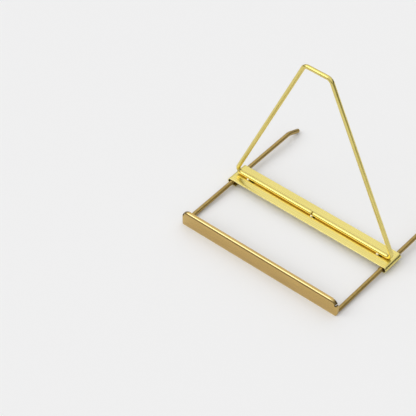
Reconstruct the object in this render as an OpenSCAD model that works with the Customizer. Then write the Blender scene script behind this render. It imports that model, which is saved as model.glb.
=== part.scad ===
// Adjustable wire album stand: a bent base wire with a lip plate in front,
// and a slider plate that carries an upright support loop along the two rails.
// Millimetres, +Z up, +Y to the rear. The origin is the middle of the footprint
// on the table.

/* [Wire] */
// Diameter of the base and support wire
wire_d = 3; // [2:0.1:4]

/* [Base] */
// Distance between the rail centre lines
rail_gap = 125; // [50:1:200]
// Slope of the rails, rising to the rear, in degrees
rail_rise = 2.2; // [0.5:0.1:5]
// Length of the straight rails, along their slope
rail_l = 104.5; // [50:0.5:200]
// Centre-line radius of the two front corners of the base wire
corner_r = 3; // [2:0.5:8]
// Centre-line radius of the bend above each rear foot
foot_bend_r = 8; // [4:0.5:15]
// Angle of the rear feet below level, in degrees
foot_drop = 22; // [10:1:45]

/* [Lip plate] */
// Overall width of the lip plate
lip_w = 128.5; // [54:0.5:204]
// Height of the lip plate above the table
lip_h = 11.9; // [8:0.1:25]
// Depth of the lip plate from its face to the rear edge of its rim
lip_d = 2.4; // [1.6:0.1:6]
// Sheet thickness of the lip plate
lip_t = 0.8; // [0.5:0.1:1.5]
// Outer radius of the two top corners
lip_corner_r = 6; // [3:0.5:10]
// Outer radius of the fold between the face and the rim
lip_fold_r = 1.2; // [0.9:0.1:2]
// Radius of the two bottom corners
lip_foot_r = 1.5; // [0.5:0.1:3]

/* [Slider] */
// Depth of the slider plate, along the rails
slider_d = 16.4; // [8:0.1:30]
// Overall width of the slider plate over its folded ends
slider_w = 132; // [56:0.5:208]
// Sheet thickness of the slider plate
slider_t = 0.6; // [0.4:0.1:1.2]
// Clearance between the rails and the flats of the folded ends
slider_play = 0.25; // [0.1:0.05:0.5]
// Length of the flat return under each rail, from the centre of the fold
return_l = 4.2; // [2:0.1:8]
// Distance from the cross bar to the slider's front edge, along the rails
slider_pos = 46.2; // [27:0.1:87]

/* [Support] */
// Half the width of the loop at the slider, between sharp corners
loop_foot = 65.3; // [27:0.1:105]
// Angle of the two legs above level, in degrees
leg_a = 65.3; // [60:0.1:85]
// Height of the top bar above the bottom bar, centre to centre
loop_h = 119.8; // [50:0.1:220]
// Centre-line radius of the two lower bends
loop_foot_r = 3.2; // [2:0.1:8]
// Centre-line radius of the two upper bends
loop_top_r = 4.5; // [2:0.1:10]
// Gap between the two ends of the wire in the middle of the bottom bar
butt_gap = 0.6; // [0.2:0.1:2]

/* [Hidden] */
$fn = 64;
wire_r = wire_d / 2;
end_bevel = 0.35;                      // bevel on the cut ends of the wires
joint_gap = 0.05;                      // half the gap between a bend and a straight,
joint_l = 0.3;                         // bridged by a collar of this length
joint_proud = 0.02;                    // that stands this far out of the wire

// rails and feet
bend_drop = foot_bend_r * (cos(rail_rise) - cos(foot_drop));
bend_run = foot_bend_r * (sin(rail_rise) + sin(foot_drop));
foot_z = wire_r * cos(foot_drop);      // height of the foot's end centre
foot_l = (wire_r + rail_l * sin(rail_rise) - bend_drop - foot_z) / sin(foot_drop);
rear_y = rail_l * cos(rail_rise) + bend_run + foot_l * cos(foot_drop)
       + wire_r * sin(foot_drop);
front_y = -wire_r - lip_t;
origin_y = (front_y + rear_y) / 2;

// lip plate
lip_x = lip_w / 2 - lip_corner_r;      // centre of the top corners
lip_z = lip_h - lip_corner_r;
notch_a = 30;                          // corner relief, degrees above level
notch_w = 0.85;                        // width of that relief
face_lap = 1;                          // strip of the face made with the rim

// slider, in the sloping frame of the rails
fold_in = wire_r + slider_play;
fold_out = fold_in + slider_t;
fold_x = slider_w / 2 - fold_out;
slider_top = fold_out;
bar_y = slider_pos + slider_d / 2;
bar_n = slider_top + wire_r;

// support loop, upright on the slider
foot_tan = loop_foot_r / tan(leg_a / 2);
top_tan = loop_top_r * tan(leg_a / 2);
leg_l = loop_h / sin(leg_a) - foot_tan - top_tan;
bar_l = loop_foot - foot_tan - butt_gap / 2;
top_l = 2 * (loop_foot - loop_h / tan(leg_a) - top_tan);
support_y = bar_y * cos(rail_rise) - bar_n * sin(rail_rise);
support_z = wire_r + bar_y * sin(rail_rise) + bar_n * cos(rail_rise);

weld_r = 1.15;                         // small beads along the bottom bar
weld_x = [-54, 0, 54];                 // places of the bead pairs
solder_l = 14;                         // seams behind the lip plate
solder_x = [-45, 45];                  // middles of the seams

// moves a child from the front cross bar's frame to the stand's own origin
module placed() {
    translate([0, -origin_y, 0]) children();
}

// the sloping frame of the rails, its origin on the cross bar's centre line
module on_rails() {
    translate([0, 0, wire_r]) rotate([rail_rise, 0, 0]) children();
}

// turns a drawing in X and Y upright into X and Z
module upright() {
    rotate([90, 0, 0]) children();
}

// straight wire along +X: its ends are bevelled where cut, or stop at a joint
module straight(l, cut_start = false, cut_end = false) {
    b0 = cut_start ? end_bevel : joint_gap;
    b1 = cut_end ? end_bevel : joint_gap;
    rotate([0, 90, 0]) {
        if (cut_start) cylinder(r1 = wire_r - b0, r2 = wire_r, h = b0);
        translate([0, 0, b0]) cylinder(r = wire_r, h = l - b0 - b1);
        if (cut_end)
            translate([0, 0, l - b1]) cylinder(r1 = wire_r, r2 = wire_r - b1, h = b1);
    }
}

// short collar, a hair proud of the wire, that joins a straight to a bend
module joint() {
    rotate([0, 90, 0])
        cylinder(r = wire_r + joint_proud, h = joint_l, center = true);
}

// rest of a wire as a bending bench makes it, starting at the origin along +X:
// each step is [bend radius, turn, roll of the bending plane, straight length]
module arm(steps, i = 0) {
    r = steps[i][0];
    turn = steps[i][1];
    l = steps[i][3];
    last = i == len(steps) - 1;
    seam = joint_gap / r * 180 / PI;
    joint();
    rotate([steps[i][2], 0, 0]) translate([0, r, 0]) {
        rotate([0, 0, seam - 90]) rotate_extrude(angle = turn - 2 * seam)
            translate([r, 0]) circle(wire_r);
        rotate([0, 0, turn]) translate([0, -r, 0]) {
            joint();
            straight(l, false, last);
            if (!last) translate([l, 0, 0]) arm(steps, i + 1);
        }
    }
}

// base: cross bar, two corners, two rails and two feet in one bent wire
module base_wire() {
    bar_half = rail_gap / 2 - corner_r;
    color("#9a7c3c") on_rails() {
        translate([-bar_half, 0, 0]) straight(2 * bar_half);
        for (side = [0, 1]) mirror([side, 0, 0]) translate([bar_half, 0, 0])
            arm([[corner_r, 90, 0, rail_l - corner_r],
                 [foot_bend_r, rail_rise + foot_drop, -90, foot_l]]);
    }
}

// section of the lip plate's rim, with a strip of its face: distance from the
// corner's centre by depth
module rim_section() {
    r_out = lip_corner_r;
    r_in = r_out - lip_t;
    fold_x0 = r_out - lip_fold_r;
    fold_y0 = lip_d - lip_fold_r;
    translate([r_in, 0]) square([lip_t, fold_y0]);
    translate([fold_x0, fold_y0]) intersection() {
        difference() {
            circle(lip_fold_r);
            circle(lip_fold_r - lip_t);
        }
        square(lip_fold_r);
    }
    translate([fold_x0 - face_lap, lip_d - lip_t]) square([face_lap, lip_t]);
}

// face of the lip plate inside the strip that belongs to the rim
module face_outline() {
    r = lip_corner_r - lip_fold_r - face_lap / 2;
    translate([-lip_x, 0]) square([2 * lip_x, lip_z + r]);
    translate([-lip_x - r, 0]) square([2 * (lip_x + r), lip_z]);
    for (side = [0, 1]) mirror([side, 0]) translate([lip_x, lip_z]) intersection() {
        circle(r);
        square(r);
    }
}

// space that keeps the bottom corners of the lip plate round
module corner_trim() {
    r = lip_foot_r;
    difference() {
        translate([lip_w / 2 - r, -1]) square([r + 1, r + 1]);
        translate([lip_w / 2 - r, r]) circle(r);
    }
}

// lip plate: flat face with a rim turned back along the top and the ends
module lip_plate() {
    color("#b4975a") translate([0, front_y + lip_d, 0]) upright() difference() {
        union() {
            translate([0, 0, lip_d - lip_t]) linear_extrude(lip_t) face_outline();
            translate([-lip_x, lip_z, 0]) rotate([90, 0, 90])
                linear_extrude(2 * lip_x) rim_section();
            for (side = [0, 1]) mirror([side, 0, 0]) translate([lip_x, lip_z, 0]) {
                rotate_extrude(angle = 90) rim_section();
                rotate([90, 0, 0]) linear_extrude(lip_z) rim_section();
            }
        }
        for (side = [0, 1]) mirror([side, 0, 0]) {
            translate([0, 0, -1]) linear_extrude(lip_d + 2) corner_trim();
            translate([lip_x, lip_z, -1]) rotate([0, 0, notch_a])
                translate([lip_corner_r - lip_fold_r, -notch_w / 2, 0])
                cube([lip_fold_r + 1, notch_w, lip_d + 2]);
        }
    }
}

// solder seams in the corner between the cross bar and the lip plate's back
module lip_solder() {
    back = front_y + lip_t;
    color("#b9b3a2") for (x = solder_x)
        translate([x - solder_l / 2, 0, 0]) rotate([90, 0, 90])
            linear_extrude(solder_l) difference() {
                polygon([[back, wire_r], [back, 3.6], [-0.55, 2.9], [-0.3, wire_r]]);
                translate([0, wire_r]) circle(wire_r);
            }
}

// section of the slider: flat top, folded ends and flat returns below the rails
module slider_section() {
    translate([-fold_x, fold_in]) square([2 * fold_x, slider_t]);
    for (side = [0, 1]) mirror([side, 0]) {
        translate([fold_x, 0]) intersection() {
            difference() {
                circle(fold_out);
                circle(fold_in);
            }
            translate([0, -fold_out]) square([fold_out, 2 * fold_out]);
        }
        translate([fold_x - return_l, -fold_out]) square([return_l, slider_t]);
    }
}

// slider plate, straight across the rails
module slider_plate() {
    color("#e0cd6a") on_rails() translate([0, slider_pos + slider_d, 0]) upright()
        linear_extrude(slider_d) slider_section();
}

// support: closed loop of wire, its two ends meeting in the bottom bar
module support_wire() {
    low = 180 - leg_a;
    color("#dcc65c") translate([butt_gap / 2, support_y, support_z]) upright() {
        straight(bar_l, true);
        translate([bar_l, 0, 0])
            arm([[loop_foot_r, low, 0, leg_l], [loop_top_r, leg_a, 0, top_l],
                 [loop_top_r, leg_a, 0, leg_l], [loop_foot_r, low, 0, bar_l]]);
    }
}

// weld bead in the corner between the bottom bar and the slider plate
module weld_bead() {
    difference() {
        translate([0, wire_r, 0]) sphere(weld_r);
        translate([-5, -5, -10]) cube(10);
        translate([-5, 0, wire_r]) rotate([0, 90, 0]) cylinder(r = wire_r, h = 10);
    }
}

// weld beads on both sides of the bottom bar where it meets the slider plate
module support_welds() {
    color("#e9dfb4") on_rails() for (x = weld_x, side = [0, 1])
        translate([x, bar_y, slider_top]) mirror([0, side, 0]) weld_bead();
}

placed() base_wire();
placed() lip_plate();
placed() lip_solder();
placed() slider_plate();
placed() support_wire();
placed() support_welds();
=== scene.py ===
"""Looks of the photo album stand: an antique brass base wire with a pressed lip plate, and a bright brass
slider plate that carries an upright support loop. Metres, in the CAD's own frame: +Z up, +Y to the rear."""

import math

import bmesh
import bpy
from mathutils import Matrix, Vector, noise


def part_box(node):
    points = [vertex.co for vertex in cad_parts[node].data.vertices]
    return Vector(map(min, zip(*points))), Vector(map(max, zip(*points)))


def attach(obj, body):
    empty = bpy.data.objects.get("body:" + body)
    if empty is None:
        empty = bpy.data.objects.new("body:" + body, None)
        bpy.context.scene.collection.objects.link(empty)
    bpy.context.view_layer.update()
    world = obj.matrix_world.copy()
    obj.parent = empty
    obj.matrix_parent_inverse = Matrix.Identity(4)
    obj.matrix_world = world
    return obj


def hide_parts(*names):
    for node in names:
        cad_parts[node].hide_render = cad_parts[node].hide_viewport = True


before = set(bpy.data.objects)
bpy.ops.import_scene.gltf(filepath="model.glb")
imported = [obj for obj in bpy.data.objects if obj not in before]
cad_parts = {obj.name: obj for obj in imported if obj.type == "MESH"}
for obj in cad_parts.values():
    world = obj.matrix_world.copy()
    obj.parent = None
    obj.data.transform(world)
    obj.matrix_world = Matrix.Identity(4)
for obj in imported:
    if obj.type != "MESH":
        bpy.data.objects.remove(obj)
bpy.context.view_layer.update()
noise.seed_set(1)                            # noise_vector changes from run to run without a seed

MM = 0.001

# ---------------------------------------------------------------- sizes of the stand, as the CAD has them
WIRE_R = 1.5 * MM
RAIL_HALF = 62.5 * MM
RAIL_L = 104.5 * MM
RISE = math.radians(2.2)
CORNER_R = 3 * MM
FOOT_R = 8 * MM
FOOT_DROP = math.radians(22)
END_BEVEL = 0.35 * MM

LIP_LO, LIP_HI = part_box("lip_plate")
LIP_T = 0.8 * MM
LIP_CORNER = 6 * MM
NOTCH_A = math.radians(30)
NOTCH_W = 0.85 * MM
LIP_FOLD = 1.2 * MM
LIP_FOOT = 1.5 * MM
LIP_DEPTH = LIP_HI.y - LIP_LO.y

BAR_Y = LIP_LO.y + LIP_T + WIRE_R          # the cross bar's centre line
FOOT_TIP_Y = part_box("base_wire")[1].y

SLIDER_T = 0.6 * MM
FOLD_IN = WIRE_R + 0.25 * MM
FOLD_OUT = FOLD_IN + SLIDER_T
FOLD_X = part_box("slider_plate")[1].x - FOLD_OUT
RETURN_L = 4.2 * MM
SLIDER_FRONT = 46.2 * MM
SLIDER_DEPTH = 16.4 * MM

LOOP_FOOT = 65.3 * MM
LOOP_H = 119.8 * MM
LEG_A = math.radians(65.3)
LOOP_FOOT_R = 3.2 * MM
LOOP_TOP_R = 4.5 * MM
BUTT_GAP = 0.6 * MM
WELD_X = (-54 * MM, 0.0, 54 * MM)

# the sloping frame of the rails: X across, Y along the rails to the rear, Z off them
ON_RAILS = Matrix.Translation((0, BAR_Y, WIRE_R)) @ Matrix.Rotation(RISE, 4, "X")
SLIDER_MID = SLIDER_FRONT + SLIDER_DEPTH / 2
LOOP_AT = ON_RAILS @ Vector((0, SLIDER_MID, FOLD_OUT + WIRE_R))


# ---------------------------------------------------------------- camera
AIM = Vector((-60.6, -37.75, 0)) * MM
AZIMUTH, ELEVATION, ROLL = math.radians(41.687), math.radians(44.02), math.radians(0.99)
DISTANCE = 1.25835

back = Vector((math.sin(AZIMUTH) * math.cos(ELEVATION),
               -math.cos(AZIMUTH) * math.cos(ELEVATION), math.sin(ELEVATION)))
camera = bpy.data.objects.new("camera", bpy.data.cameras.new("camera"))
bpy.context.scene.collection.objects.link(camera)
bpy.context.scene.camera = camera
camera.data.sensor_width = 36
camera.data.lens = 164.86
camera.data.clip_start, camera.data.clip_end = 0.05, 50
camera.rotation_mode = "QUATERNION"
camera.location = AIM + back * DISTANCE
camera.rotation_quaternion = ((-back).to_track_quat("-Z", "Y")
                              @ Matrix.Rotation(-ROLL, 3, "Z").to_quaternion())


# ---------------------------------------------------------------- mesh helpers
def link(name, mesh):
    piece = bpy.data.objects.new(name, mesh)
    bpy.context.scene.collection.objects.link(piece)
    return piece


def mesh_piece(name, verts, faces, along=None, smooth=True):
    """A piece from plain lists. along gives each vertex's place in the metal's own grain, in metres."""
    mesh = bpy.data.meshes.new(name)
    mesh.from_pydata([tuple(v) for v in verts], [], faces)
    if along:
        grain = mesh.attributes.new("along", "FLOAT_VECTOR", "POINT")
        for i, a in enumerate(along):
            grain.data[i].vector = a
    for polygon in mesh.polygons:
        polygon.use_smooth = smooth
    mesh.update()
    return link(name, mesh)


def outward(piece):
    """Turns every face's normal to the outside."""
    work = bmesh.new()
    work.from_mesh(piece.data)
    bmesh.ops.recalc_face_normals(work, faces=work.faces)
    work.to_mesh(piece.data)
    work.free()
    return piece


def applied(piece, *modifiers):
    """Adds modifiers, given as (type, settings), and bakes them into the mesh."""
    for kind, settings in modifiers:
        made = piece.modifiers.new(kind.lower(), kind)
        for key, value in settings.items():
            setattr(made, key, value)
    graph = bpy.context.evaluated_depsgraph_get()
    mesh = bpy.data.meshes.new_from_object(piece.evaluated_get(graph))
    old = piece.data
    piece.modifiers.clear()
    piece.data = mesh
    mesh.name = piece.name
    bpy.data.meshes.remove(old)
    return piece


def shade(piece, angle=35):
    """Smooth shading that stays crisp at edges sharper than angle."""
    mesh = piece.data
    work = bmesh.new()
    work.from_mesh(mesh)
    for face in work.faces:
        face.smooth = True
    for edge in work.edges:
        edge.smooth = len(edge.link_faces) == 2 and edge.calc_face_angle(0) < math.radians(angle)
    work.to_mesh(mesh)
    work.free()
    return piece


# ---------------------------------------------------------------- wires
class Bench:
    """A wire bending bench: walks along the wire and notes each station's place and how hard it is bent."""

    def __init__(self, matrix, step=1.6 * MM):
        self.m, self.step = matrix, step
        self.stations = [(matrix.translation.copy(), 0.0)]

    def straight(self, length):
        n = max(2, round(length / self.step))
        for i in range(1, n + 1):
            self.stations.append((self.m @ Vector((length * i / n, 0, 0)), 0.0))
        self.m = self.m @ Matrix.Translation((length, 0, 0))
        return self

    def bend(self, radius, turn, roll=0.0, steps=16):
        self.m = self.m @ Matrix.Rotation(roll, 4, "X")
        for i in range(1, steps + 1):
            a = turn * i / steps
            p = Vector((radius * math.sin(a), radius * (1 - math.cos(a)), 0))
            self.stations.append((self.m @ p, math.sin(math.pi * i / steps)))
        self.m = self.m @ Matrix.Translation((radius * math.sin(turn), radius * (1 - math.cos(turn)), 0)) \
            @ Matrix.Rotation(turn, 4, "Z")
        return self


def swept_wire(name, stations, sides=36, seed=0.0, wander=0.04 * MM):
    """A round wire through the stations, with the slight wander and flattened bends of wire bent by hand."""
    points = [p for p, _ in stations]
    n = len(points)
    lengths = [0.0]
    for a, b in zip(points, points[1:]):
        lengths.append(lengths[-1] + (b - a).length)
    tangents = [(points[min(i + 1, n - 1)] - points[max(i - 1, 0)]).normalized() for i in range(n)]
    up = Vector((0, 0, 1)) if abs(tangents[0].z) < 0.9 else Vector((0, 1, 0))
    frames = []
    u = (up - tangents[0] * up.dot(tangents[0])).normalized()
    for t in tangents:
        u = (u - t * u.dot(t)).normalized()
        frames.append((u.copy(), t.cross(u)))

    # rings: two rounded ends, each with a slightly hollow sheared face, and the stations between
    bevel = [(math.sin(a), math.cos(a)) for a in (math.radians(x) for x in (0, 22, 45, 68, 90))]
    rings = []                                       # (station index, shift along, radius)
    for share in (0.0, 0.45, 0.8):
        rings.append((0, 0.03 * MM * (1 - share) ** 2, (WIRE_R - END_BEVEL) * share))
    for s, c in bevel[:-1]:
        rings.append((0, END_BEVEL * (1 - c), WIRE_R - END_BEVEL + END_BEVEL * s))
    head = len(rings)
    for i in range(1, n - 1):
        if END_BEVEL * 1.5 < lengths[i] < lengths[-1] - END_BEVEL * 1.5:
            rings.append((i, 0.0, WIRE_R))
    tail = [(n - 1, -shift, r) for _, shift, r in rings[:head]]
    rings += tail[::-1]

    verts, along, faces = [], [], []
    last = len(rings) - 1
    for k, (i, shift, r) in enumerate(rings):
        t, (u, w) = tangents[i], frames[i]
        s = lengths[i]
        bent = stations[i][1]
        free = min(1.0, s / (6 * MM), (lengths[-1] - s) / (6 * MM))
        drift = noise.noise_vector(Vector((s / (22 * MM), seed, 0))) * wander * free
        centre = points[i] + t * shift + u * drift.x + w * drift.y
        if k in (0, last):
            verts.append(centre)
            along.append((s, 0, 0))
            continue
        for j in range(sides):
            a = 2 * math.pi * j / sides
            out = u * math.cos(a) + w * math.sin(a)
            dent = noise.noise(Vector((s / (5 * MM), seed + 3 + math.cos(a), math.sin(a)))) * 0.012 * MM
            reach = (r - 0.015 * MM * bent + dent * free) if r > WIRE_R * 0.95 else r
            verts.append(centre + out * reach)
            along.append((s + shift, r * math.cos(a), r * math.sin(a)))

    def ring(k):
        return 1 + (k - 1) * sides

    for j in range(sides):
        j2 = (j + 1) % sides
        faces.append((0, ring(1) + j2, ring(1) + j))
        faces.append((ring(last), ring(last - 1) + j, ring(last - 1) + j2))
        for k in range(1, last - 1):
            a, b = ring(k), ring(k + 1)
            faces.append((a + j, a + j2, b + j2, b + j))
    return mesh_piece(name, verts, faces, along)


def base_wire():
    """Cross bar, two corners, two rails and two feet."""
    half = Bench(ON_RAILS).straight(RAIL_HALF - CORNER_R).bend(CORNER_R, math.pi / 2)
    half.straight(RAIL_L - CORNER_R)
    half.bend(FOOT_R, RISE + FOOT_DROP, -math.pi / 2, 14)
    foot = (FOOT_TIP_Y - WIRE_R * math.sin(FOOT_DROP) - half.m.translation.y) / math.cos(FOOT_DROP)
    half.straight(foot)
    mirrored = [(Vector((-p.x, p.y, p.z)), b) for p, b in half.stations[:0:-1]]
    return swept_wire("base_wire_drawn", mirrored + half.stations, seed=1.3)


def support_wire():
    """The closed loop, from one end in the middle of the bottom bar round to the other."""
    foot_tan = LOOP_FOOT_R / math.tan(LEG_A / 2)
    top_tan = LOOP_TOP_R * math.tan(LEG_A / 2)
    leg = LOOP_H / math.sin(LEG_A) - foot_tan - top_tan
    bar = LOOP_FOOT - foot_tan - BUTT_GAP / 2
    top = 2 * (LOOP_FOOT - LOOP_H / math.tan(LEG_A) - top_tan)
    start = Matrix.Translation(LOOP_AT + Vector((BUTT_GAP / 2, 0, 0))) @ Matrix.Rotation(math.pi / 2, 4, "X")
    wire = Bench(start).straight(bar).bend(LOOP_FOOT_R, math.pi - LEG_A).straight(leg)
    wire.bend(LOOP_TOP_R, LEG_A).straight(top).bend(LOOP_TOP_R, LEG_A).straight(leg)
    wire.bend(LOOP_FOOT_R, math.pi - LEG_A).straight(bar)
    return swept_wire("support_wire_bent", wire.stations, seed=7.7)


# ---------------------------------------------------------------- lip plate
def arch(offset, low, steps=28):
    """The lip plate's outline from the front, drawn in X and Z with its top and ends moved in by offset."""
    half = LIP_HI.x - offset
    r = LIP_CORNER - offset
    cx, cz = LIP_HI.x - LIP_CORNER, LIP_HI.z - LIP_CORNER
    points = [(half, low)]
    points += [(cx + r * math.cos(a), cz + r * math.sin(a))
               for a in (math.pi / 2 * i / steps for i in range(steps + 1))]
    return points + [(-x, z) for x, z in reversed(points)]


def arch_solid(name, profile, low):
    """A solid whose outline steps in by each profile's offset at each profile's depth."""
    verts, faces = [], []
    for offset, depth in profile:
        verts += [(x, LIP_LO.y + depth, z) for x, z in arch(offset, low)]
    n = len(verts) // len(profile)
    for k in range(len(profile) - 1):
        for j in range(n):
            j2 = (j + 1) % n
            faces.append((k * n + j, k * n + j2, (k + 1) * n + j2, (k + 1) * n + j))
    faces.append(tuple(range(n))[::-1])
    faces.append(tuple(range((len(profile) - 1) * n, len(profile) * n)))
    return outward(mesh_piece(name, verts, faces))


def fold(radius, t, steps=10):
    return [(radius * (1 - math.sin(a)), t + radius * (1 - math.cos(a)))
            for a in (math.pi / 2 * i / steps for i in range(steps + 1))]


def prism(name, outline, y0, y1):
    n = len(outline)
    verts = [(x, y, z) for y in (y0, y1) for x, z in outline]
    faces = [(j, (j + 1) % n, n + (j + 1) % n, n + j) for j in range(n)]
    faces += [tuple(range(n))[::-1], tuple(range(n, 2 * n))]
    return outward(mesh_piece(name, verts, faces))


def cut(piece, tool, operation="DIFFERENCE"):
    applied(piece, ("BOOLEAN", {"operation": operation, "solver": "EXACT", "object": tool}))
    mesh = tool.data
    bpy.data.objects.remove(tool)
    bpy.data.meshes.remove(mesh)
    return piece


def lip_plate():
    """Pressed strip: flat face, a crisp fold along its top and ends, and a shallow rim turned back."""
    outer = arch_solid("lip_plate_pressed", fold(LIP_FOLD, 0) + [(0, LIP_DEPTH)], -4 * MM)
    inner_fold = [(LIP_T + o, LIP_T + d) for o, d in fold(LIP_FOLD - LIP_T, 0, 5)]
    inner = arch_solid("lip_hollow", inner_fold + [(LIP_T, LIP_DEPTH + 2 * MM)], -6 * MM)
    cut(outer, inner)

    # the lower edge, its two small corners, and the relief in each upper corner of the rim
    reach = LIP_HI.x + 5 * MM
    r = LIP_FOOT
    foot = [(LIP_HI.x - r + r * math.sin(a), r - r * math.cos(a))
            for a in (math.pi / 2 * i / 10 for i in range(11))]
    outline = foot + [(LIP_HI.x, 20 * MM)]
    outline += [(-x, z) for x, z in reversed(outline)]
    cut(outer, prism("lip_trim", outline, LIP_LO.y - 5 * MM, LIP_HI.y + 5 * MM), "INTERSECT")
    cx, cz = LIP_HI.x - LIP_CORNER, LIP_HI.z - LIP_CORNER
    inner, half = LIP_CORNER - LIP_FOLD, NOTCH_W / 2
    across = [half * math.sin(math.radians(v)) for v in (-90, -60, -30, 0, 30, 60, 90)]
    for side in (-1, 1):
        slot = []
        for radial, off in [(inner + half - math.sqrt(half ** 2 - v * v), v) for v in across[::-1]] \
                + [(LIP_CORNER + MM, -half), (LIP_CORNER + MM, half)]:
            x = cx + radial * math.cos(NOTCH_A) - off * math.sin(NOTCH_A)
            z = cz + radial * math.sin(NOTCH_A) + off * math.cos(NOTCH_A)
            slot.append((side * x, z))
        cut(outer, prism("lip_notch", slot, LIP_LO.y - 5 * MM, LIP_HI.y + 5 * MM))
    applied(outer, ("WELD", {"merge_threshold": 0.002 * MM}),
            ("BEVEL", {"width": 0.09 * MM, "segments": 2, "limit_method": "ANGLE",
                       "angle_limit": math.radians(40), "harden_normals": False,
                       "use_clamp_overlap": True}))
    return shade(outer)


# ---------------------------------------------------------------- slider plate
def slider_plate():
    """Flat strip whose ends are rolled round the rails and back under them."""
    mid = (FOLD_IN + FOLD_OUT) / 2
    steps = 22
    flat = [FOLD_X * i / 24 for i in range(-24, 25)]
    path = [(-x, -mid, 0, -1) for x in (FOLD_X - RETURN_L * (1 - i / 4) for i in range(5))]
    turn = [math.pi * i / steps for i in range(1, steps)]
    path += [(-FOLD_X - mid * math.sin(a), -mid * math.cos(a), -math.sin(a), -math.cos(a)) for a in turn]
    path += [(x, mid, 0, 1) for x in flat]
    path += [(-x, n, -nx, nz) for x, n, nx, nz in reversed(path[:5 + steps - 1])]
    half_t = SLIDER_T / 2
    s, places = 0.0, []
    for i, (x, n, nx, nz) in enumerate(path):
        if i:
            s += math.hypot(x - path[i - 1][0], n - path[i - 1][1])
        places.append(s)
    total = places[-1]
    verts, along, faces = [], [], []
    r = 0.12 * MM                                    # rounding of the sheared edges
    arc = [math.radians(a) for a in (0, 30, 60, 90)]
    # section across the sheet, once round: (depth along the rails, height off the middle)
    rim = [(r - r * math.cos(a), -half_t + r - r * math.sin(a)) for a in arc[::-1]]
    rim += [(r - r * math.cos(a), half_t - r + r * math.sin(a)) for a in arc]
    cells = 8
    between = [SLIDER_DEPTH * i / cells for i in range(1, cells)]
    section = [(v, h) for v, h in rim] + [(v, half_t) for v in between]
    section += [(SLIDER_DEPTH - v, h) for v, h in reversed(rim)]
    section += [(v, -half_t) for v in reversed(between)]
    m = len(section)
    for (x, n, nx, nz), s in zip(path, places):
        end = min(s, total - s)
        inset = max(0.0, r - end) if end < r else 0.0
        bow = 0.05 * MM * noise.noise(Vector((s / (30 * MM), 0.4, 9))) * (abs(x) < FOLD_X - MM) * (n > 0)
        for v, h in section:
            here = Vector((x + nx * (h * (1 - inset / half_t)), SLIDER_FRONT + v,
                           n + nz * h * (1 - inset / half_t) - abs(bow)))
            verts.append(ON_RAILS @ here)
            along.append((s, v, h))
    for k in range(len(path) - 1):
        for j in range(m):
            j2 = (j + 1) % m
            faces.append((k * m + j, k * m + j2, (k + 1) * m + j2, (k + 1) * m + j))
    last = (len(path) - 1) * m
    faces.append(tuple(range(m))[::-1])
    faces.append(tuple(range(last, last + m)))
    return shade(outward(mesh_piece("slider_plate_rolled", verts, faces, along)), 40)


# ---------------------------------------------------------------- welds and solder
def lump(work, centre, size, seed, squash=(1, 1, 1)):
    """A small drop of metal that ran and froze."""
    made = bmesh.ops.create_icosphere(work, subdivisions=4, radius=1.0)
    for vert in made["verts"]:
        d = vert.co.normalized()
        broad = noise.noise(d * 1.9 + Vector((seed, 0, 0)))
        fine = noise.noise(d * 5 + Vector((0, seed, 0)))
        swell = 1 + 0.13 * broad + 0.05 * fine
        vert.co = centre + Vector(d[i] * size * squash[i] * swell for i in range(3))


def lumps(name, items):
    work = bmesh.new()
    for item in items:
        lump(work, *item)
    for face in work.faces:
        face.smooth = True
    mesh = bpy.data.meshes.new(name)
    work.to_mesh(mesh)
    work.free()
    return link(name, mesh)


def support_welds():
    items = []
    for i, x in enumerate(WELD_X):
        for side in (-1, 1):
            centre = ON_RAILS @ Vector((x, SLIDER_MID + side * 1.35 * MM, FOLD_OUT + 0.22 * MM))
            items.append((centre, 1.02 * MM, 2.7 * i + side, (1.12, 0.95, 0.8)))
    return lumps("support_weld_beads", items)


def lip_solder():
    items = []
    for side in (-1, 1):
        for k in range(9):
            x = side * (45 + (k - 4) * 1.55) * MM
            z = WIRE_R + (1.25 + 0.12 * math.sin(k * 2.1 + side)) * MM
            y = LIP_LO.y + LIP_T + 0.42 * MM
            items.append((Vector((x, y, z)), 0.95 * MM, k * 1.3 + side, (1.15, 0.45, 0.85)))
    piece = lumps("lip_solder_seams", items)
    return applied(piece, ("REMESH", {"mode": "VOXEL", "voxel_size": 0.12 * MM, "use_smooth_shade": True}),
                   ("SMOOTH", {"factor": 0.5, "iterations": 4}))


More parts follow.
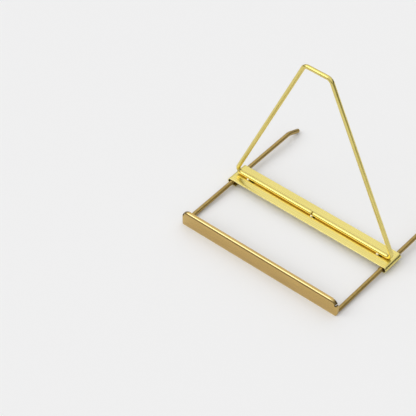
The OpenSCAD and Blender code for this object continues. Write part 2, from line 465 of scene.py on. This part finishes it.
# ---------------------------------------------------------------- materials
class Tree:
    """Short words for shader nodes."""

    def __init__(self, name):
        self.material = bpy.data.materials.new(name)
        self.material.use_nodes = True
        self.tree = self.material.node_tree
        self.shader = self.tree.nodes["Principled BSDF"]

    def put(self, socket, value):
        if isinstance(value, bpy.types.NodeSocket):
            self.tree.links.new(value, socket)
        else:
            socket.default_value = value

    def node(self, kind, inputs=(), out=0, **settings):
        made = self.tree.nodes.new("ShaderNode" + kind)
        for key, value in settings.items():
            setattr(made, key, value)
        for key, value in dict(inputs).items():
            self.put(made.inputs[key], value)
        return made.outputs[out]

    def math(self, operation, *values, clamp=False):
        return self.node("Math", {i: v for i, v in enumerate(values)}, operation=operation, use_clamp=clamp)

    def length(self, a, b):
        squares = self.math("ADD", self.math("MULTIPLY", a, a), self.math("MULTIPLY", b, b))
        return self.math("SQRT", squares)

    def span(self, value, low, high, to_low=0.0, to_high=1.0, smooth=True):
        kind = "SMOOTHSTEP" if smooth else "LINEAR"
        return self.node("MapRange", {"Value": value, "From Min": low, "From Max": high,
                                      "To Min": to_low, "To Max": to_high}, interpolation_type=kind)

    def mix(self, share, a, b, blend="MIX"):
        made = self.tree.nodes.new("ShaderNodeMix")
        made.data_type, made.blend_type = "RGBA", blend
        self.put(made.inputs[0], share)
        self.put(made.inputs[6], a)
        self.put(made.inputs[7], b)
        return made.outputs[2]

    def blend(self, share, a, b):
        """A number between a and b."""
        made = self.tree.nodes.new("ShaderNodeMix")
        made.data_type = "FLOAT"
        for socket, value in zip((made.inputs[0], made.inputs[2], made.inputs[3]), (share, a, b)):
            self.put(socket, value)
        return made.outputs[0]

    def parts(self, vector):
        made = self.tree.nodes.new("ShaderNodeSeparateXYZ")
        self.put(made.inputs[0], vector)
        return made.outputs[0], made.outputs[1], made.outputs[2]

    def grain(self, vector, scale, detail=2.0, rough=0.5, seed=0.0):
        """Noise stretched to the feature size given, in millimetres, along each axis."""
        stretched = self.node("VectorMath", {0: vector, 1: tuple(1 / (s * MM) for s in scale)},
                              operation="MULTIPLY")
        moved = self.node("VectorMath", {0: stretched, 1: (seed, seed * 1.7, seed * 0.3)}, operation="ADD")
        return self.node("TexNoise", {"Vector": moved, "Scale": 1.0, "Detail": detail, "Roughness": rough})

    def bump(self, height, strength, distance, normal=None):
        inputs = {"Height": height, "Strength": strength, "Distance": distance}
        if normal:
            inputs["Normal"] = normal
        return self.node("Bump", inputs)


def rgb(r, g, b):
    return (r, g, b, 1.0)


def brass(name, light, dark, rough, lengthwise, cloudy=0.4, spotty=0.3, streaky=0.05, relief=0.02, axis=0,
          coords="along", marks=()):
    """Brass with its rolling or drawing lines, cloudy tarnish, fine scratches, and marks laid over it.
    lengthwise is the grain's length in millimetres. A mark is (share function, colour, roughness)."""
    t = Tree(name)
    if coords == "along":
        where = t.node("Attribute", attribute_name="along", out=1)
    else:
        where = t.node("TexCoord", out=3)

    def size(long, wide):
        found = [wide, wide, wide]
        found[axis] = long
        return tuple(found)

    cloud = t.grain(where, size(26, 9), 2, 0.5, 1.0)
    mottle = t.grain(where, size(2.2, 0.9), 3, 0.6, 5.0)
    lines = t.grain(where, size(lengthwise, 0.12), 2, 0.6, 9.0)
    wide_lines = t.grain(where, size(lengthwise * 2, 0.7), 3, 0.6, 13.0)
    tarnish = t.math("ADD", t.math("MULTIPLY", t.span(cloud, 0.3, 0.7), cloudy),
                     t.math("ADD", t.math("MULTIPLY", t.span(mottle, 0.32, 0.68), spotty),
                            t.math("MULTIPLY", t.span(wide_lines, 0.3, 0.7), 1 - cloudy - spotty)))
    colour = t.mix(tarnish, light, dark)
    for grain in (lines, wide_lines):
        streak = t.span(grain, 0.35, 0.65, 1 - streaky, 1 + streaky)
        colour = t.mix(1.0, colour, t.node("CombineColor", {0: streak, 1: streak, 2: streak}), "MULTIPLY")
    roughness = t.math("ADD", t.span(tarnish, 0.2, 0.8, rough[0], rough[1], False),
                       t.span(lines, 0.3, 0.7, -0.03, 0.04, False))
    place = t.node("TexCoord", out=3)
    for spot, tint, dull in marks:
        share = spot(t, place, where, mottle)
        colour = t.mix(share, colour, tint)
        roughness = t.blend(share, roughness, dull)
    normal = t.bump(lines, relief * 10, 0.006 * MM)
    normal = t.bump(wide_lines, relief * 8, 0.02 * MM, normal)
    normal = t.bump(cloud, relief * 10, 0.1 * MM, normal)
    t.put(t.shader.inputs["Base Color"], colour)
    t.put(t.shader.inputs["Roughness"], roughness)
    t.put(t.shader.inputs["Normal"], normal)
    t.shader.inputs["Metallic"].default_value = 1.0
    return t.material


# Marks: each gives its share, 0 to 1. place is the object's own space and where the metal's own grain.
def lip_light_edge_and_crest_highlight(t, place, where, ragged):
    """The lip plate painted lighter along its lower edge, and a painted highlight along the crest of its
    fold.
    """
    x, y, z = t.parts(place)
    wobble = t.span(ragged, 0.3, 0.7, -0.12 * MM, 0.12 * MM, False)
    low = t.span(t.math("ADD", z, wobble), 0.15 * MM, 0.8 * MM, 1.0, 0.0)
    crest = t.math("MULTIPLY", t.span(t.math("ADD", z, wobble), LIP_HI.z - 0.95 * MM, LIP_HI.z - 0.5 * MM),
                   t.span(y, LIP_LO.y + 0.6 * MM, LIP_LO.y + 1.1 * MM, 1.0, 0.0))
    return t.math("MULTIPLY", t.math("MAXIMUM", low, crest), 0.7)


def lip_fold_dark_reflection(t, place, where, ragged):
    """Painted dark reflection along the line where the face starts to fold back."""
    x, y, z = t.parts(place)
    face = t.span(y, LIP_LO.y + 0.2 * MM, LIP_LO.y + 0.45 * MM, 1.0, 0.0)
    away = t.math("ABSOLUTE", t.math("SUBTRACT", z, LIP_HI.z - 1.05 * MM))
    return t.math("MULTIPLY", face, t.span(away, 0.15 * MM, 0.65 * MM, 0.85, 0.0))


def lip_corner_patina_and_notch_shade(t, place, where, ragged):
    """Dark patina on the rim's worked corners, and painted shade in and round the relief cuts at their ends.
    """
    x, y, z = t.parts(place)
    across = t.math("SUBTRACT", t.math("ABSOLUTE", x), LIP_HI.x - LIP_CORNER)
    above = t.math("SUBTRACT", z, LIP_HI.z - LIP_CORNER)
    reach = t.length(across, above)
    rim = t.span(reach, LIP_CORNER - 1.0 * MM, LIP_CORNER - 0.5 * MM)
    bend = t.math("MULTIPLY", t.span(across, 1.6 * MM, 3.8 * MM), t.span(above, 1.4 * MM, 2.4 * MM))
    near_x = t.math("SUBTRACT", across, (LIP_CORNER - 0.5 * MM) * math.cos(NOTCH_A))
    near_z = t.math("SUBTRACT", above, (LIP_CORNER - 0.5 * MM) * math.sin(NOTCH_A))
    near = t.length(near_x, near_z)
    notch = t.span(near, 0.5 * MM, 1.0 * MM, 1.0, 0.0)
    return t.math("MAXIMUM", t.math("MULTIPLY", t.math("MULTIPLY", rim, bend), 0.65), notch)


def slider_edge_highlight(t, place, where, ragged):
    """Painted highlight along the slider's sheared front and rear edges."""
    s, v, h = t.parts(where)
    front = t.span(v, 0.1 * MM, 0.4 * MM, 1.0, 0.0)
    rear = t.span(v, SLIDER_DEPTH - 0.4 * MM, SLIDER_DEPTH - 0.1 * MM)
    return t.math("MULTIPLY", t.math("MAXIMUM", front, rear), 0.7)


def slider_fold_shade(t, place, where, ragged):
    """Painted reddish brown shade inside the folded ends."""
    s, v, h = t.parts(where)
    inner = t.span(h, -0.29 * MM, -0.15 * MM, 1.0, 0.0)
    x, y, z = t.parts(place)
    ends = t.span(t.math("ABSOLUTE", x), FOLD_X - 4 * MM, FOLD_X - 1 * MM, 0.0, 0.85)
    return t.math("MULTIPLY", inner, ends)


def weld_crevice_shade(t, place, where, ragged):
    """Short painted shadows beside the weld beads, in the crevice at the front of the bottom bar."""
    share = None
    for x0, length in ((WELD_X[0] + 3.1 * MM, 2.6 * MM), (WELD_X[1] + 1.9 * MM, 1.2 * MM),
                       (WELD_X[2] + 2.3 * MM, 1.6 * MM)):
        spot = ON_RAILS @ Vector((x0, SLIDER_MID - 1.25 * MM, FOLD_OUT + 0.3 * MM))
        off = t.node("VectorMath", {0: place, 1: tuple(spot)}, operation="SUBTRACT")
        shrink = (1 / length, 1 / (0.75 * MM), 1 / (0.8 * MM))
        scaled = t.node("VectorMath", {0: off, 1: shrink}, operation="MULTIPLY")
        far = t.node("VectorMath", {0: scaled}, out=1, operation="LENGTH")
        one = t.span(far, 0.55, 1.1, 0.92, 0.0)
        share = one if share is None else t.math("MAXIMUM", share, one)
    return share


def bar_underside_reflection(t, place, where, ragged):
    """Painted amber reflection of the slider, and shade, on the lower side of the bottom bar."""
    normal = ON_RAILS.to_3x3() @ Vector((0, 0, 1))
    off_rails = t.node("VectorMath", {0: place, 1: tuple(normal)}, out=1, operation="DOT_PRODUCT")
    height = t.math("SUBTRACT", off_rails, LOOP_AT.dot(normal))
    return t.span(height, -0.95 * MM, -0.15 * MM, 0.75, 0.0)


def bar_contact_shade(t, place, where, ragged):
    """The same amber painted on the slider along the bar, as its contact shade and the bar's reflection."""
    s, v, h = t.parts(where)
    away = t.math("ABSOLUTE", t.math("SUBTRACT", v, SLIDER_DEPTH / 2))
    top = t.span(h, 0.1 * MM, 0.25 * MM)
    x, y, z = t.parts(place)
    inside = t.span(t.math("ABSOLUTE", x), LOOP_FOOT - 5 * MM, LOOP_FOOT - 3 * MM, 1.0, 0.0)
    return t.math("MULTIPLY", t.math("MULTIPLY", top, inside), t.span(away, 1.3 * MM, 2.9 * MM, 0.8, 0.0))


# near black: patina on the lip's corners, and painted shade in its relief cuts and beside the welds
PATINA_AND_SHADE = rgb(0.035, 0.022, 0.010)
# painted reflection and contact shade along the bottom bar
AMBER = rgb(0.64, 0.44, 0.09)
BASE_WIRE = brass("antique_brass_wire", rgb(0.54, 0.39, 0.14), rgb(0.36, 0.24, 0.07), (0.28, 0.42), 8,
                  cloudy=0.25, spotty=0.45, streaky=0.07)
LIP = brass("antique_brass_sheet", rgb(0.64, 0.45, 0.163), rgb(0.565, 0.39, 0.135), (0.16, 0.23), 14,
            cloudy=0.3, spotty=0.25, streaky=0.06, coords="object",
            marks=((lip_light_edge_and_crest_highlight, rgb(0.80, 0.65, 0.31), 0.2), (lip_fold_dark_reflection, rgb(0.17, 0.095, 0.025), 0.35),
                   (lip_corner_patina_and_notch_shade, PATINA_AND_SHADE, 0.45)))
SLIDER = brass("bright_brass_sheet", rgb(0.84, 0.725, 0.25), rgb(0.77, 0.65, 0.20), (0.23, 0.32), 45,
               cloudy=0.3, spotty=0.08, streaky=0.04, relief=0.004,
               marks=((slider_edge_highlight, rgb(0.95, 0.86, 0.42), 0.2),
                      (slider_fold_shade, rgb(0.16, 0.065, 0.022), 0.45),
                      (bar_contact_shade, AMBER, 0.35), (weld_crevice_shade, PATINA_AND_SHADE, 0.5)))
SUPPORT = brass("bright_brass_wire", rgb(0.85, 0.72, 0.24), rgb(0.71, 0.58, 0.17), (0.15, 0.22), 25,
                cloudy=0.3, streaky=0.04, relief=0.006,
                marks=((bar_underside_reflection, AMBER, 0.35), (weld_crevice_shade, PATINA_AND_SHADE, 0.5)))
WELD = brass("weld_metal", rgb(0.95, 0.90, 0.74), rgb(0.80, 0.72, 0.52), (0.2, 0.4), 1, coords="object")
SOLDER = brass("solder_metal", rgb(0.62, 0.60, 0.54), rgb(0.36, 0.34, 0.29), (0.35, 0.55), 1, coords="object")


# ---------------------------------------------------------------- the pieces
PIECES = (
    (base_wire, "base_wire", "base", "antique_brass_wire", BASE_WIRE),
    (lip_plate, "lip_plate", "base", "antique_brass_sheet", LIP),
    (lip_solder, "lip_solder", "base", "solder", SOLDER),
    (slider_plate, "slider_plate", "slider", "bright_brass_sheet", SLIDER),
    (support_wire, "support_wire", "slider", "bright_brass_wire", SUPPORT),
    (support_welds, "support_welds", "slider", "weld", WELD),
)
for make, node, body, slot, material in PIECES:
    piece = make()
    piece.data.materials.clear()
    piece.data.materials.append(material)
    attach(piece, body)
    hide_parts(node)


# ---------------------------------------------------------------- floor and light
FLOOR_FAR = 6.0
PAPER_END, SHADE_FULL = 1.1, 2.4             # from where the paper darkens, and where it is darkest
CARD_FULL, CARD_FADED = math.radians(23), math.radians(46)
CARD_AZIMUTH = 128


def direction(azimuth, elevation):
    """Unit vector away from the stand, at an azimuth where 0 is the front and 90 the right."""
    a, e = math.radians(azimuth), math.radians(elevation)
    return math.sin(a) * math.cos(e), -math.cos(a) * math.cos(e), math.sin(e)


def floor():
    rings, spokes = 24, 64
    verts = [(0, 0, 0)]
    for k in range(1, rings + 1):
        r = FLOOR_FAR * (k / rings) ** 2.2
        verts += [(r * math.cos(2 * math.pi * j / spokes), r * math.sin(2 * math.pi * j / spokes), 0)
                  for j in range(spokes)]
    faces = [(0, 1 + j, 1 + (j + 1) % spokes) for j in range(spokes)]
    for k in range(rings - 1):
        a, b = 1 + k * spokes, 1 + (k + 1) * spokes
        faces += [(a + j, b + j, b + (j + 1) % spokes, a + (j + 1) % spokes) for j in range(spokes)]
    piece = mesh_piece("floor", verts, faces)
    t = Tree("paper")
    where = t.node("TexCoord", out=3)
    fibre = t.grain(where, (0.8, 0.8, 0.8), 3, 0.6)
    paper = t.mix(fibre, rgb(0.89, 0.89, 0.893), rgb(0.91, 0.91, 0.91))
    # the paper is plain round the stand and runs out into shade far off, evenly in every direction
    far = t.span(t.node("VectorMath", {0: where}, out=1, operation="LENGTH"), PAPER_END, SHADE_FULL, 0.0, 0.8)
    t.put(t.shader.inputs["Base Color"], t.mix(far, paper, rgb(0.22, 0.22, 0.225)))
    t.put(t.shader.inputs["Normal"], t.bump(fibre, 0.15, 0.02 * MM))
    t.shader.inputs["Roughness"].default_value = 0.9
    t.shader.inputs["Specular IOR Level"].default_value = 0.1
    piece.data.materials.append(t.material)


def studio():
    """A pale tent over a dimmer horizon, with two soft boxes and a dark card in it."""
    world = bpy.data.worlds.new("studio")
    bpy.context.scene.world = world
    world.use_nodes = True
    tree = world.node_tree

    def node(kind, links, **settings):
        made = tree.nodes.new("ShaderNode" + kind)
        for key, value in settings.items():
            setattr(made, key, value)
        for i, value in enumerate(links):
            if isinstance(value, bpy.types.NodeSocket):
                tree.links.new(value, made.inputs[i])
            elif value is not None:
                made.inputs[i].default_value = value
        return made

    way = tree.nodes.new("ShaderNodeTexCoord").outputs["Generated"]
    height = node("SeparateXYZ", (way,)).outputs[2]
    ramp = node("ValToRGB", (height,))
    stops = ((0.0, 0.20), (0.12, 0.26), (0.34, 0.64), (0.52, 0.86), (1.0, 0.92))
    for i, (at, level) in enumerate(stops):
        stop = ramp.color_ramp.elements[i] if i < 2 else ramp.color_ramp.elements.new(at)
        stop.position = at
        stop.color = (level, level, level, 1)
    light = ramp.outputs[0]
    # soft boxes: azimuth, elevation, half angles of the full and of the faded out part, strength
    for azimuth, elevation, full, faded, strength in ((-45, 42, 13, 30, 1.5), (-138, 46, 14, 40, 0.16)):
        middle = direction(azimuth, elevation)
        near = node("VectorMath", (way, middle), operation="DOT_PRODUCT").outputs["Value"]
        edge, core = math.cos(math.radians(faded)), math.cos(math.radians(full))
        box = node("MapRange", (near, edge, core, 0.0, strength), interpolation_type="SMOOTHSTEP").outputs[0]
        light = node("VectorMath", (light, box), operation="ADD").outputs[0]
    # a dark card low at the right rear, reflected as a stripe down the loop's right leg
    near = node("VectorMath", (way, direction(CARD_AZIMUTH, 3)), operation="DOT_PRODUCT").outputs["Value"]
    card = node("MapRange", (near, math.cos(CARD_FADED), math.cos(CARD_FULL), 1.0, 0.05),
                interpolation_type="SMOOTHSTEP").outputs[0]
    light = node("VectorMath", (light, card), operation="MULTIPLY").outputs[0]
    tree.links.new(light, tree.nodes["Background"].inputs["Color"])
    tree.nodes["Background"].inputs["Strength"].default_value = 1.0


floor()
studio()
bpy.context.scene.view_settings.view_transform = "Standard"
